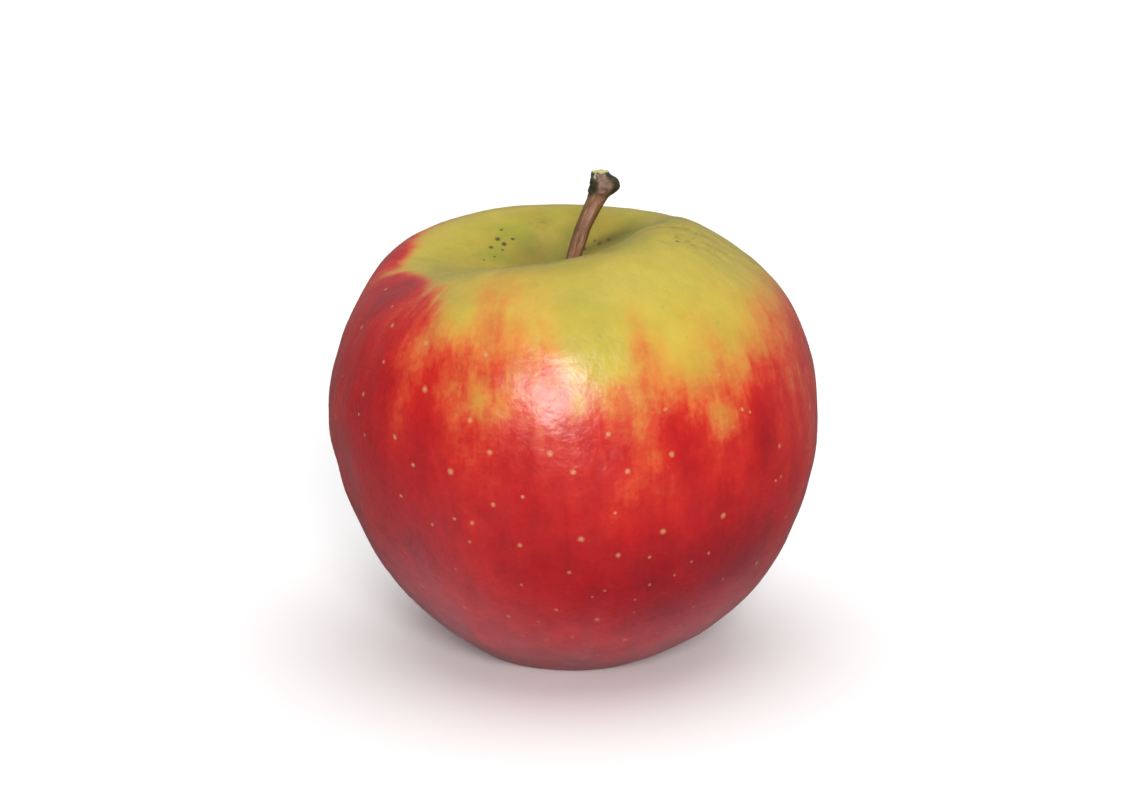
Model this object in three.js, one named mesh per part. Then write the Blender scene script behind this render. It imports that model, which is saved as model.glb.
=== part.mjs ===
// A ripe apple standing on its calyx end, with its woody stem and its dried calyx.
//
// Frame: millimetres, +Z up, +X right, -Y towards the front. The origin is at the
// bottom centre of the whole apple's bounding box, on the plane it rests on.
//
// The pieces are the fruit, the stem, five dried sepals and the dried stamen tuft.
// Each piece that touches another keeps a gap of SEAT_GAP to it.
import * as THREE from 'three';
import { mergeVertices } from 'three/addons/utils/BufferGeometryUtils.js';

// ---------------------------------------------------------------- dimensions
const SEAT_GAP = 0.3; // clearance between touching pieces
const FRUIT_SEGMENTS = 64; // facets around the fruit
const STEM_SEGMENTS = 14;

// The fruit is a stack of rings blended by a uniform cubic B-spline, from the eye of
// the calyx (row 0) to the bottom of the stem cavity (row 16).
// Each row: mean radius R, height Z, centre shift X, centre shift Y.
const RINGS = [
  [0, 7.2, 0.21, 0],
  [1.9, 7, 0.21, 0],
  [4.3, 5.5, 0.21, 0],
  [7, 2.4, 0.21, 0],
  [9.9, -0.2, 0.21, 0],
  [12.67, -0.89, 0.21, 0],
  [17.89, 2.41, 1.15, 0],
  [26.39, 8.06, 1.65, 0],
  [33.9, 19.54, 1.27, 0],
  [38.06, 34.52, 0.97, 0],
  [36.53, 48.56, 0.48, -0.03],
  [32.18, 58.39, -0.55, -0.06],
  [25.84, 62.99, -1.6, -0.07],
  [18, 65.31, -1.4, 0],
  [9.3, 60, -1.05, 0.1],
  [3.9, 55, -0.6, 0],
  [0, 53.6, -0.55, 0],
];
// Uneven growth: for a ring row, how far its radius (LOBES_R) and height (LOBES_Z)
// swing around the fruit. Each entry: order, first row, cosine list, sine list.
const LOBES_R = [
  [2, 9, [0.29, -0.33, -0.68, -0.95, -0.66, -0.39], [-0.25, -0.22, -0.77, -0.72, 0.01, 0.15]],
  [3, 10, [0.39, 0.48, -0.28, -0.19], [-0.13, -0.0, 0.31, 0.57]],
  [5, 3, [0.08, 0.2, 0.26, 0.26, 0.18], [0.1, 0.16, 0.2, 0.16, 0.1]],
];
const LOBES_Z = [
  [1, 8, [-0.51, -0.44, 0.78, 1.08, 2.2, 3.93, 2.24], [0.13, 0.34, 0.59, 0.7, 0.3, -0.88, -1.26]],
  [2, 10, [-0.46, -1.04, -1.37, -0.73, 0.31], [-0.47, -1.17, -1.0, -0.34, -0.84]],
  [3, 10, [0.33, 0.31, 0.33, 0.59], [0.03, 0.1, 0.53, -0.68]],
  [5, 3, [0.1, 0.14, 0.1], [0.06, 0.1, 0.06]],
];
// Heights along the skin, in ring rows, at which the fruit has a row of vertices.
const SKIN_ROWS = [
  1.0, 1.4, 1.9, 2.4, 2.9, 3.35, 3.75, 4.05, 4.35, 4.65, 4.95, 5.3, 5.75, 6.25, 6.8, 7.4,
  8.0, 8.6, 9.2, 9.8, 10.4, 10.9, 11.35, 11.8, 12.2, 12.6, 13.0, 13.4, 13.8, 14.2, 14.6,
  15.0, 15.5,
];
// The small pit at the eye, as rings of [radius, height], from its end to its mouth.
const CALYX_PIT = [[0.0, 9.1], [1.0, 8.95], [1.6, 8.3], [1.85, 7.4]];

// The stem in level slices: height, centre x, centre y, half width in x, half width in y.
const STEM_SLICES = [
  [52.2, -0.66, 0.0, 1.16, 1.16],
  [54.0, -0.5, -0.04, 1.2, 1.18],
  [57.2, 0.0, -0.12, 1.16, 1.13],
  [61.0, 0.82, -0.2, 1.13, 1.1],
  [63.6, 1.62, -0.2, 1.17, 1.12],
  [65.6, 2.24, -0.16, 1.2, 1.14],
  [67.6, 3.12, -0.06, 1.29, 1.2],
  [69.4, 4.0, 0.04, 1.41, 1.32],
  [70.75, 4.71, 0.1, 1.61, 1.5],
  [71.65, 5.33, 0.14, 2.07, 1.78],
  [72.45, 5.62, 0.18, 2.23, 1.92],
  [73.35, 5.45, 0.2, 1.86, 1.74],
  [73.95, 5.06, 0.2, 1.38, 1.42],
  [74.4, 4.96, 0.2, 1.12, 1.16],
];
const STEM_TOP = [5.14, 0.2, 74.7]; // x, y, z of the broken end
const STEM_FOOT_Z = 52.0; // lower end, inside the stem cavity's socket
const SOCKET_DEPTHS = [53.9, 53.0, 51.9]; // heights of the socket's wall rings
const SOCKET_END_Z = 51.6;

// Sepals: centre line as [distance from the eye's axis, height], then half widths.
const SEPAL_LINE = [[2.72, 6.2], [2.2, 5.2], [1.62, 4.2], [1.66, 3.2], [2.5, 2.55], [3.25, 2.5]];
const SEPAL_HALF_WIDTH = 1.02;
const SEPAL_HALF_THICKNESS = 0.2;
const SEPAL_TURN = 0.35; // where the first sepal stands, in radians
// Stamen tuft, as [radius, height], from its root in the pit to its tips.
const TUFT_PROFILE = [[0.0, 8.55], [0.45, 8.45], [0.5, 7.4], [0.42, 6.2], [0.55, 5.0], [0.72, 4.1], [0.5, 3.7], [0.0, 3.6]];

// ------------------------------------------------------------------ fruit skin
const LAST = RINGS.length - 1;
const spline = (u) => [
  (1 - u) ** 3 / 6,
  (3 * u ** 3 - 6 * u ** 2 + 4) / 6,
  (-3 * u ** 3 + 3 * u ** 2 + 3 * u + 1) / 6,
  u ** 3 / 6,
];

function swing(lobes, row, theta) {
  let sum = 0;
  for (const [order, first, cos, sin] of lobes) {
    const k = row - first;
    if (k >= 0 && k < cos.length) sum += cos[k] * Math.cos(order * theta) + sin[k] * Math.sin(order * theta);
  }
  return sum;
}

// A point of the skin at angle theta and ring height t. Rows past either pole are the
// rows on the far side of it, so the skin is smooth over both poles.
function skin(theta, t) {
  const i = Math.min(Math.floor(t), LAST - 1);
  const weights = spline(t - i);
  let r = 0, x = 0, y = 0, z = 0;
  weights.forEach((w, k) => {
    let row = i + k - 1;
    let angle = theta, side = 1;
    if (row < 0 || row > LAST) {
      row = row < 0 ? -row : 2 * LAST - row;
      angle = theta + Math.PI;
      side = -1;
    }
    const [R, Z, X, Y] = RINGS[row];
    r += w * side * (R + swing(LOBES_R, row, angle));
    z += w * (Z + swing(LOBES_Z, row, angle));
    x += w * X;
    y += w * Y;
  });
  // the fruit's own weight flattens its foot on the plane z = 0
  return [x + r * Math.cos(theta), y + r * Math.sin(theta), Math.max(z, 0)];
}

// ------------------------------------------------------------------- helpers
// Closed body: a lathe whose vertices are moved to place(angle, row index).
function shapedLathe(profile, segments, place) {
  const lathe = new THREE.LatheGeometry(profile.map(([r, z]) => new THREE.Vector2(r, z)), segments);
  lathe.deleteAttribute('normal');
  lathe.deleteAttribute('uv');
  const position = lathe.getAttribute('position');
  const rows = profile.length;
  for (let s = 0; s <= segments; s++) {
    const angle = ((s % segments) / segments) * Math.PI * 2;
    for (let j = 0; j < rows; j++) position.setXYZ(s * rows + j, ...place(angle, j));
  }
  return closed(lathe);
}

// Merge the seam and the poles, drop the collapsed triangles, and face outwards.
function closed(geometry) {
  const merged = mergeVertices(geometry, 1e-5);
  const index = merged.getIndex();
  const position = merged.getAttribute('position');
  const kept = [];
  let volume = 0;
  const a = new THREE.Vector3(), b = new THREE.Vector3(), c = new THREE.Vector3();
  for (let i = 0; i < index.count; i += 3) {
    const t = [index.getX(i), index.getX(i + 1), index.getX(i + 2)];
    if (t[0] === t[1] || t[1] === t[2] || t[2] === t[0]) continue;
    a.fromBufferAttribute(position, t[0]);
    b.fromBufferAttribute(position, t[1]);
    c.fromBufferAttribute(position, t[2]);
    volume += a.dot(b.cross(c));
    kept.push(t);
  }
  const out = new THREE.BufferGeometry();
  out.setAttribute('position', position.clone());
  out.setIndex(kept.flatMap((t) => (volume > 0 ? t : [t[0], t[2], t[1]])));
  out.computeVertexNormals();
  return out;
}

// Linear interpolation in a table of points, at f in 0..1 along it.
function along(points, f) {
  const g = Math.min(f, 0.999999) * (points.length - 1);
  const i = Math.floor(g), u = g - i;
  return points[i].map((v, k) => v * (1 - u) + points[i + 1][k] * u);
}

// ---------------------------------------------------------------------- fruit
// centre and half widths of the stem at a height
function stemAt(z) {
  let i = 0;
  while (i < STEM_SLICES.length - 2 && STEM_SLICES[i + 1][0] < z) i++;
  const p = STEM_SLICES[i], q = STEM_SLICES[i + 1];
  const u = (z - p[0]) / (q[0] - p[0]);
  return p.map((v, k) => v * (1 - u) + q[k] * u);
}

function fruitGeometry() {
  const pit = CALYX_PIT.length;
  const rows = [
    ...CALYX_PIT.map(([r, z]) => (angle) => [
      RINGS[0][2] + r * Math.cos(angle), RINGS[0][3] + r * Math.sin(angle), z]),
    ...SKIN_ROWS.map((t) => (angle) => skin(angle, t)),
    ...SOCKET_DEPTHS.map((z) => (angle) => {
      const [, x, y, hx, hy] = stemAt(z);
      return [x + (hx + SEAT_GAP) * Math.cos(angle), y + (hy + SEAT_GAP) * Math.sin(angle), z];
    }),
    () => [stemAt(SOCKET_END_Z)[1], stemAt(SOCKET_END_Z)[2], SOCKET_END_Z],
  ];
  const last = rows.length - 1;
  const profile = rows.map((row, j) => {
    const [x, , z] = row(0);
    return [j === 0 || j === last ? 0 : Math.max(Math.abs(x), 0.5), z];
  });
  return shapedLathe(profile, FRUIT_SEGMENTS, (angle, j) => rows[j](angle));
}

// ----------------------------------------------------------------------- stem
function stemGeometry() {
  const slices = [[STEM_FOOT_Z, ...STEM_SLICES[0].slice(1, 3), 1.0, 1.0], ...STEM_SLICES];
  const profile = [
    [0, STEM_FOOT_Z],
    ...slices.map(([z, , , hx]) => [hx, z]),
    [0, STEM_TOP[2]],
  ];
  const last = profile.length - 1;
  return shapedLathe(profile, STEM_SEGMENTS, (angle, j) => {
    if (j === 0) return [slices[0][1], slices[0][2], STEM_FOOT_Z];
    if (j === last) return STEM_TOP;
    const [z, x, y, hx, hy] = slices[j - 1];
    return [x + hx * Math.cos(angle), y + hy * Math.sin(angle), z];
  });
}

// --------------------------------------------------------------------- sepals
// A flattened ball drawn out along the sepal's centre line, pointed at its tip.
function sepalGeometry(turn) {
  const ball = new THREE.SphereGeometry(1, 10, 10);
  ball.deleteAttribute('normal');
  ball.deleteAttribute('uv');
  const position = ball.getAttribute('position');
  const centre = new THREE.Vector3(), side = new THREE.Vector3(-Math.sin(turn), Math.cos(turn), 0);
  const out = new THREE.Vector3(Math.cos(turn), Math.sin(turn), 0), up = new THREE.Vector3(0, 0, 1);
  for (let i = 0; i < position.count; i++) {
    const axial = position.getY(i), across = position.getX(i), through = position.getZ(i);
    const f = (1 - axial) / 2;
    const [r, z] = along(SEPAL_LINE, f);
    const [r1, z1] = along(SEPAL_LINE, Math.min(f + 0.08, 1));
    const [r0, z0] = along(SEPAL_LINE, Math.max(f - 0.08, 0));
    const slope = new THREE.Vector2(r1 - r0, z1 - z0).normalize();
    const width = SEPAL_HALF_WIDTH * (1 - 0.62 * f) * across;
    const thick = SEPAL_HALF_THICKNESS * through;
    centre.set(RINGS[0][2], RINGS[0][3], 0)
      .addScaledVector(out, r + slope.y * thick)
      .addScaledVector(up, z - slope.x * thick)
      .addScaledVector(side, width);
    position.setXYZ(i, centre.x, centre.y, centre.z);
  }
  return closed(ball);
}

// ------------------------------------------------------------------ stamen tuft
function tuftGeometry() {
  const last = TUFT_PROFILE.length - 1;
  return shapedLathe(TUFT_PROFILE, 10, (angle, j) => {
    const [r, z] = TUFT_PROFILE[j];
    const ragged = j > 3 && j < last ? 1 + 0.12 * Math.cos(5 * angle) : 1;
    return [RINGS[0][2] + r * ragged * Math.cos(angle), RINGS[0][3] + r * ragged * Math.sin(angle), z];
  });
}

// ------------------------------------------------------------------- assembly
const skinMaterial = new THREE.MeshStandardMaterial({ color: 0xc8352b, roughness: 0.42, metalness: 0 });
const stemMaterial = new THREE.MeshStandardMaterial({ color: 0x7a5238, roughness: 0.75, metalness: 0 });
const sepalMaterial = new THREE.MeshStandardMaterial({ color: 0x5c4630, roughness: 0.9, metalness: 0 });
const tuftMaterial = new THREE.MeshStandardMaterial({ color: 0x3e2e20, roughness: 0.9, metalness: 0 });

const apple = new THREE.Group();
function add(name, geometry, material) {
  const mesh = new THREE.Mesh(geometry, material);
  mesh.name = name;
  apple.add(mesh);
}
add('fruit', fruitGeometry(), skinMaterial);
add('stem', stemGeometry(), stemMaterial);
for (let n = 0; n < 5; n++) {
  add(`sepal_${n + 1}`, sepalGeometry(SEPAL_TURN + (n * Math.PI * 2) / 5), sepalMaterial.clone());
}
add('stamen_tuft', tuftGeometry(), tuftMaterial);

// Put the origin at the bottom centre of the bounding box.
const box = new THREE.Box3().setFromObject(apple);
apple.position.set(-(box.min.x + box.max.x) / 2, -(box.min.y + box.max.y) / 2, 0);

export default apple;
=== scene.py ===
import math

import bpy
import numpy as np
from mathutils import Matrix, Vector


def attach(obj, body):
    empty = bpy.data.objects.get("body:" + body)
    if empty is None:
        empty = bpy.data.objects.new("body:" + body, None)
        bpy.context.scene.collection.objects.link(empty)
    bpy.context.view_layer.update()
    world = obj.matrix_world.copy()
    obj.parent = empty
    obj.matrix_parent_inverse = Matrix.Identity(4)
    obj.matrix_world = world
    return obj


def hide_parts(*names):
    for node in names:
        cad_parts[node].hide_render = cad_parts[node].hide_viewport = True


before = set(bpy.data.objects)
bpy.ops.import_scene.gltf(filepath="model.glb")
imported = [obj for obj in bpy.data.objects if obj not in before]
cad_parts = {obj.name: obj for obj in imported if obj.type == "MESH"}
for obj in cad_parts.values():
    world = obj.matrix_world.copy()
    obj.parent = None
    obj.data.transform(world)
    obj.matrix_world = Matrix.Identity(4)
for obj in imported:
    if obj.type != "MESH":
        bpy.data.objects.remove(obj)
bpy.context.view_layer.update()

MM = 0.001
SHIFT = np.array([-0.9659462, -0.0281868, 0.0])  # from the design's axis to the frame's origin, mm
COLS = 360   # columns of the fruit's mesh
SKIN_STEPS = 236

# ------------------------------------------------------------------ the fruit's form
# The same rings and swings as the CAD fruit: mean radius, height, centre x, centre y.
RINGS = np.array([
    [0, 7.2, 0.21, 0], [1.9, 7, 0.21, 0], [4.3, 5.5, 0.21, 0], [7, 2.4, 0.21, 0],
    [9.9, -0.2, 0.21, 0], [12.67, -0.89, 0.21, 0], [17.89, 2.41, 1.15, 0],
    [26.39, 8.06, 1.65, 0], [33.9, 19.54, 1.27, 0], [38.06, 34.52, 0.97, 0],
    [36.53, 48.56, 0.48, -0.03], [32.18, 58.39, -0.55, -0.06], [25.84, 62.99, -1.6, -0.07],
    [18, 65.31, -1.4, 0], [9.3, 60, -1.05, 0.1], [3.9, 55, -0.6, 0], [0, 53.6, -0.55, 0]])
LOBES_R = [
    (2, 9, [0.29, -0.33, -0.68, -0.95, -0.66, -0.39], [-0.25, -0.22, -0.77, -0.72, 0.01, 0.15]),
    (3, 10, [0.39, 0.48, -0.28, -0.19], [-0.13, 0.0, 0.31, 0.57]),
    (5, 3, [0.08, 0.2, 0.26, 0.26, 0.18], [0.1, 0.16, 0.2, 0.16, 0.1])]
LOBES_Z = [
    (1, 8, [-0.51, -0.44, 0.78, 1.08, 2.2, 3.93, 2.24], [0.13, 0.34, 0.59, 0.7, 0.3, -0.88, -1.26]),
    (2, 10, [-0.46, -1.04, -1.37, -0.73, 0.31], [-0.47, -1.17, -1.0, -0.34, -0.84]),
    (3, 10, [0.33, 0.31, 0.33, 0.59], [0.03, 0.1, 0.53, -0.68]),
    (5, 3, [0.1, 0.14, 0.1], [0.06, 0.1, 0.06])]
CALYX_PIT = [(0.0, 9.1), (0.5, 9.07), (1.0, 8.95), (1.35, 8.7), (1.6, 8.3), (1.75, 7.85), (1.85, 7.4)]
STEM_SLICES = [
    (52.2, -0.66, 0.0, 1.16, 1.16), (54.0, -0.5, -0.04, 1.2, 1.18), (57.2, 0.0, -0.12, 1.16, 1.13),
    (61.0, 0.82, -0.2, 1.13, 1.1), (63.6, 1.62, -0.2, 1.17, 1.12), (65.6, 2.24, -0.16, 1.2, 1.14),
    (67.6, 3.12, -0.06, 1.29, 1.2), (69.4, 4.0, 0.04, 1.41, 1.32), (70.75, 4.71, 0.1, 1.61, 1.5),
    (71.65, 5.33, 0.14, 2.07, 1.78), (72.45, 5.62, 0.18, 2.23, 1.92), (73.35, 5.45, 0.2, 1.86, 1.74),
    (73.95, 5.06, 0.2, 1.38, 1.42), (74.4, 4.96, 0.2, 1.12, 1.16)]
SOCKET = [(54.15, 0.45), (53.7, 0.3), (53.0, 0.3), (51.9, 0.3)]  # height, clearance to the stem
EYE = np.array([0.21, 0.0])

LAST = len(RINGS) - 1


def lobe_table(lobes):
    a, b = np.zeros((6, LAST + 1)), np.zeros((6, LAST + 1))
    for order, first, cos, sin in lobes:
        a[order, first:first + len(cos)] += cos
        b[order, first:first + len(sin)] += sin
    return a, b


AR, BR = lobe_table(LOBES_R)
AZ, BZ = lobe_table(LOBES_Z)


def skin(theta, t):
    """Points of the skin in mm, in the frame, at angle theta and ring height t."""
    theta, t = np.broadcast_arrays(np.asarray(theta, float), np.asarray(t, float))
    i = np.clip(np.floor(t).astype(int), 0, LAST - 1)
    u = t - i
    weights = [(1 - u) ** 3 / 6, (3 * u ** 3 - 6 * u ** 2 + 4) / 6,
               (-3 * u ** 3 + 3 * u ** 2 + 3 * u + 1) / 6, u ** 3 / 6]
    r, x, y, z = (np.zeros(theta.shape) for _ in range(4))
    for k in range(4):
        row = i + k - 1
        past = (row < 0) | (row > LAST)
        row = np.where(row < 0, -row, np.where(row > LAST, 2 * LAST - row, row))
        angle = np.where(past, theta + np.pi, theta)
        side = np.where(past, -1.0, 1.0)
        radius, height = RINGS[row, 0].copy(), RINGS[row, 1].copy()
        for order in range(1, 6):
            c, s = np.cos(order * angle), np.sin(order * angle)
            radius += AR[order][row] * c + BR[order][row] * s
            height += AZ[order][row] * c + BZ[order][row] * s
        r += weights[k] * side * radius
        z += weights[k] * height
        x += weights[k] * RINGS[row, 2]
        y += weights[k] * RINGS[row, 3]
    out = np.stack([x + r * np.cos(theta), y + r * np.sin(theta), np.maximum(z, 0)], -1)
    return out + SHIFT


def waves(points, wavelength, count, seed):
    """Smooth seeded noise in space, about -1 to 1, with features of that size in mm."""
    rng = np.random.default_rng(seed)
    d = rng.normal(size=(count, 3))
    d /= np.linalg.norm(d, axis=1, keepdims=True)
    k = d * (2 * np.pi / (wavelength * rng.uniform(0.75, 1.35, size=(count, 1))))
    phase = rng.uniform(0, 2 * np.pi, count)
    return np.cos(points @ k.T + phase).sum(-1) * math.sqrt(2.0 / count) * 0.6


def smooth(x, lo, hi):
    f = np.clip((x - lo) / (hi - lo), 0, 1)
    return f * f * (3 - 2 * f)


def around(theta_deg, centre):
    """Signed angle from centre, -180 to 180."""
    return (np.asarray(theta_deg) - centre + 180.0) % 360.0 - 180.0


# ------------------------------------------------------------------ mesh helpers
def new_mesh(name, verts_mm, faces, material, smooth_shade=True):
    mesh = bpy.data.meshes.new(name)
    mesh.from_pydata((np.asarray(verts_mm) * MM).tolist(), [], faces)
    mesh.validate()
    mesh.polygons.foreach_set("use_smooth", [smooth_shade] * len(mesh.polygons))
    mesh.materials.append(material)
    mesh.update()
    obj = bpy.data.objects.new(name, mesh)
    bpy.context.scene.collection.objects.link(obj)
    return obj


def put(obj, name, values, domain="POINT"):
    values = np.asarray(values, dtype=np.float32)
    kind = "FLOAT_VECTOR" if values.ndim == 2 else "FLOAT"
    layer = obj.data.attributes.new(name, kind, domain)
    layer.data.foreach_set("vector" if values.ndim == 2 else "value", values.ravel())


def tube_faces(rows, cols, first=0):
    """Quads of a rows x cols grid closed around its columns."""
    faces = []
    for j in range(rows - 1):
        for i in range(cols):
            k = (i + 1) % cols
            a, b = first + j * cols, first + (j + 1) * cols
            faces.append((a + i, a + k, b + k, b + i))
    return faces


# ------------------------------------------------------------------ colour
def linear(r, g, b):
    return tuple((c / 12.92 if c <= 0.04045 else ((c + 0.055) / 1.055) ** 2.4) for c in (r, g, b)) + (1.0,)


class Nodes:
    """Small helper for writing node materials."""

    def __init__(self, name):
        self.material = bpy.data.materials.new(name)
        self.material.use_nodes = True
        self.tree = self.material.node_tree
        self.tree.nodes.clear()
        self.out = self.tree.nodes.new("ShaderNodeOutputMaterial")
        self.shader = self.tree.nodes.new("ShaderNodeBsdfPrincipled")
        self.link(self.shader.outputs[0], self.out.inputs[0])

    def link(self, a, b):
        self.tree.links.new(a, b)

    def put(self, socket, value):
        if value is None:
            return
        if isinstance(value, bpy.types.NodeSocket):
            self.link(value, socket)
        else:
            socket.default_value = value

    def attribute(self, name, output="Fac"):
        node = self.tree.nodes.new("ShaderNodeAttribute")
        node.attribute_type = "GEOMETRY"
        node.attribute_name = name
        return node.outputs[output]

    def position(self):
        return self.tree.nodes.new("ShaderNodeTexCoord").outputs["Object"]

    def math(self, op, a, b=None, c=None, clamp=False):
        node = self.tree.nodes.new("ShaderNodeMath")
        node.operation, node.use_clamp = op, clamp
        for socket, value in zip(node.inputs, (a, b, c)):
            self.put(socket, value)
        return node.outputs[0]

    def vector(self, op, a, b=None, scale=None):
        node = self.tree.nodes.new("ShaderNodeVectorMath")
        node.operation = op
        self.put(node.inputs[0], a)
        self.put(node.inputs[1], b)
        if scale is not None:
            self.put(node.inputs["Scale"], scale)
        return node.outputs["Value"] if op in ("LENGTH", "DISTANCE", "DOT_PRODUCT") else node.outputs[0]

    def noise(self, vector, scale, detail=3.0, roughness=0.5, distortion=0.0, output="Fac"):
        node = self.tree.nodes.new("ShaderNodeTexNoise")
        node.noise_dimensions = "3D"
        self.put(node.inputs["Vector"], vector)
        self.put(node.inputs["Scale"], scale)
        self.put(node.inputs["Detail"], detail)
        self.put(node.inputs["Roughness"], roughness)
        self.put(node.inputs["Distortion"], distortion)
        return node.outputs[output]

    def cells(self, vector, scale, feature="F1", output="Distance", randomness=1.0):
        node = self.tree.nodes.new("ShaderNodeTexVoronoi")
        node.feature = feature
        self.put(node.inputs["Vector"], vector)
        self.put(node.inputs["Scale"], scale)
        self.put(node.inputs["Randomness"], randomness)
        return node.outputs[output]

    def ramp(self, value, stops, mode="LINEAR"):
        node = self.tree.nodes.new("ShaderNodeValToRGB")
        node.color_ramp.interpolation = mode
        elements = node.color_ramp.elements
        while len(elements) < len(stops):
            elements.new(0.5)
        for element, (at, colour) in zip(elements, stops):
            element.position = at
            element.color = colour if len(colour) == 4 else tuple(colour) + (1.0,)
        self.put(node.inputs[0], value)
        return node.outputs[0]

    def span(self, value, lo, hi, to_lo=0.0, to_hi=1.0, kind="SMOOTHSTEP"):
        node = self.tree.nodes.new("ShaderNodeMapRange")
        node.interpolation_type = kind
        self.put(node.inputs["Value"], value)
        for key, v in (("From Min", lo), ("From Max", hi), ("To Min", to_lo), ("To Max", to_hi)):
            self.put(node.inputs[key], v)
        return node.outputs[0]

    def mix(self, factor, a, b, mode="MIX"):
        node = self.tree.nodes.new("ShaderNodeMix")
        node.data_type, node.blend_type = "RGBA", mode
        node.clamp_factor = True
        self.put(node.inputs[0], factor)
        self.put(node.inputs[6], a)
        self.put(node.inputs[7], b)
        return node.outputs[2]

    def bump(self, height, distance, strength=1.0, normal=None):
        node = self.tree.nodes.new("ShaderNodeBump")
        self.put(node.inputs["Height"], height)
        self.put(node.inputs["Distance"], distance)
        self.put(node.inputs["Strength"], strength)
        if normal is not None:
            self.link(normal, node.inputs["Normal"])
        return node.outputs[0]

    def finish(self, **sockets):
        for key, value in sockets.items():
            self.put(self.shader.inputs[key.replace("_", " ")], value)
        return self.material


# ------------------------------------------------------------------ the blush
# Where the red over-colour starts, going down from the stem: angle, ring height, softness.
BLUSH_EDGE = [
    (0, 10.9, 0.9), (15, 11.3, 0.9), (32, 11.5, 0.8), (50, 11.2, 0.8), (66, 11.6, 0.7), (85, 11.8, 0.7),
    (103, 11.5, 0.7), (120, 11.8, 0.7), (140, 11.9, 0.7), (154, 12.25, 0.4), (166, 12.2, 0.35), (176, 12.3, 0.35),
    (188, 12.45, 0.3), (200, 12.5, 0.3), (212, 12.3, 0.4), (221, 12.15, 0.5), (229, 11.85, 0.8), (236, 11.2, 1.0),
    (242, 10.9, 0.9), (248, 10.85, 1.0), (254, 10.85, 1.1), (260, 10.8, 1.1), (266, 10.7, 1.0), (272, 10.35, 0.8),
    (277, 10.15, 0.6), (283, 10.2, 0.8), (289, 10.35, 1.0), (296, 10.2, 0.9), (303, 10.2, 1.0), (311, 10.2, 1.0),
    (319, 10.4, 1.0), (327, 10.7, 1.1), (336, 10.9, 1.2), (346, 11.0, 1.2)]
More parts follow.
